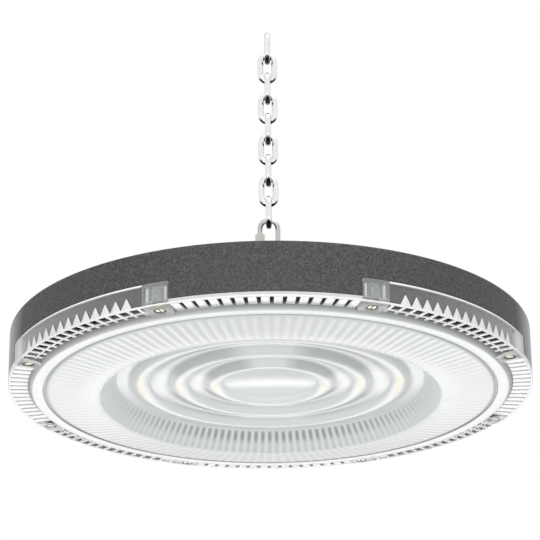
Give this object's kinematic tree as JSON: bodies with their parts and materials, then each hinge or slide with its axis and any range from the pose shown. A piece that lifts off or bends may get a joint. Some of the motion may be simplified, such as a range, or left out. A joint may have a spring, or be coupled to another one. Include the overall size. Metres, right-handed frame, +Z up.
{
  "type": "high bay light",
  "caption": "Slim round pendant high bay light with a clear ribbed cover over ring lenses, vented cast housing, eye bolt, quick link and short chain.",
  "frame": {"origin": "hanging point inside the top bend of the top chain link", "axes": "+Z up along the chain and the lamp's axis, -Y towards the side that is seen, +X to the right"},
  "size_m": [0.35, 0.35, 0.2785],
  "materials": {
    "graphite_paint": "textured graphite powder coat on die-cast aluminium",
    "clear_plastic": "clear moulded plastic",
    "white_silicone": "white silicone",
    "black_rubber": "black rubber",
    "screw_steel": "yellowish zinc plated",
    "black_plastic": "black polyamide",
    "white_plastic": "white reflector plastic",
    "white_board": "white solder mask",
    "thermal_pad": "grey thermal pad",
    "led": "yellow phosphor",
    "driver_case": "satin aluminium",
    "terminal_plastic": "light grey plastic",
    "lead_sleeve": "red insulation",
    "zinc_steel": "bright zinc plated",
    "chain_steel": "bright zinc plated"
  },
  "bodies": {
    "link_1": {"chain_link_1": "chain_steel"},
    "link_2": {"chain_link_2": "chain_steel"},
    "link_3": {"chain_link_3": "chain_steel"},
    "link_4": {"chain_link_4": "chain_steel"},
    "link_5": {"chain_link_5": "chain_steel"},
    "link_6": {"chain_link_6": "chain_steel"},
    "link_7": {"chain_link_7": "chain_steel"},
    "link_8": {"chain_link_8": "chain_steel"},
    "link_9": {"chain_link_9": "chain_steel"},
    "quick_link": {"quick_link": "zinc_steel", "quick_link_nut": "zinc_steel"},
    "fixture": {"housing": "graphite_paint", "lens_cover": "clear_plastic", "lens_gasket": "white_silicone", "cover_screws": "screw_steel", "reflector": "white_plastic", "led_board": "white_board", "thermal_pad": "thermal_pad", "leds_outer": "led", "leds_middle": "led", "leds_inner": "led", "board_screws": "screw_steel", "driver_cover": "graphite_paint", "driver_cover_gasket": "black_rubber", "driver_cover_screws": "screw_steel", "driver_module": "driver_case", "driver_spacers": "black_plastic", "driver_screws": "screw_steel", "terminal_block": "terminal_plastic", "lead_grommet": "black_rubber", "driver_leads": "lead_sleeve", "gland_body": "black_plastic", "gland_seal": "black_rubber", "gland_dome": "black_plastic", "gland_nut": "black_plastic", "breather_valve": "black_plastic", "breather_nut": "black_plastic", "eye_bolt": "zinc_steel", "eye_washer": "zinc_steel", "eye_nut": "zinc_steel"}
  },
  "joints": [
    {"name": "link_2_swing", "type": "hinge", "parent": "link_1", "child": "link_2", "pos_m": [0, 0, -0.0181], "axis": [0, 1, 0], "range_deg": [-30, 30]},
    {"name": "link_3_swing", "type": "hinge", "parent": "link_2", "child": "link_3", "pos_m": [0, 0, -0.0341], "axis": [1, 0, 0], "range_deg": [-30, 30]},
    {"name": "link_4_swing", "type": "hinge", "parent": "link_3", "child": "link_4", "pos_m": [0, 0, -0.0501], "axis": [0, 1, 0], "range_deg": [-30, 30]},
    {"name": "link_5_swing", "type": "hinge", "parent": "link_4", "child": "link_5", "pos_m": [0, 0, -0.0661], "axis": [1, 0, 0], "range_deg": [-30, 30]},
    {"name": "link_6_swing", "type": "hinge", "parent": "link_5", "child": "link_6", "pos_m": [0, 0, -0.0821], "axis": [0, 1, 0], "range_deg": [-30, 30]},
    {"name": "link_7_swing", "type": "hinge", "parent": "link_6", "child": "link_7", "pos_m": [0, 0, -0.0981], "axis": [1, 0, 0], "range_deg": [-30, 30]},
    {"name": "link_8_swing", "type": "hinge", "parent": "link_7", "child": "link_8", "pos_m": [0, 0, -0.1141], "axis": [0, 1, 0], "range_deg": [-30, 30]},
    {"name": "link_9_swing", "type": "hinge", "parent": "link_8", "child": "link_9", "pos_m": [0, 0, -0.1301], "axis": [1, 0, 0], "range_deg": [-30, 30]},
    {"name": "quick_link_swing", "type": "hinge", "parent": "link_9", "child": "quick_link", "pos_m": [0, 0, -0.1461], "axis": [0, 1, 0], "range_deg": [-30, 30]},
    {"name": "fixture_swing", "type": "hinge", "parent": "quick_link", "child": "fixture", "pos_m": [0, 0, -0.17365], "axis": [1, 0, 0], "range_deg": [-25, 25]}
  ]
}
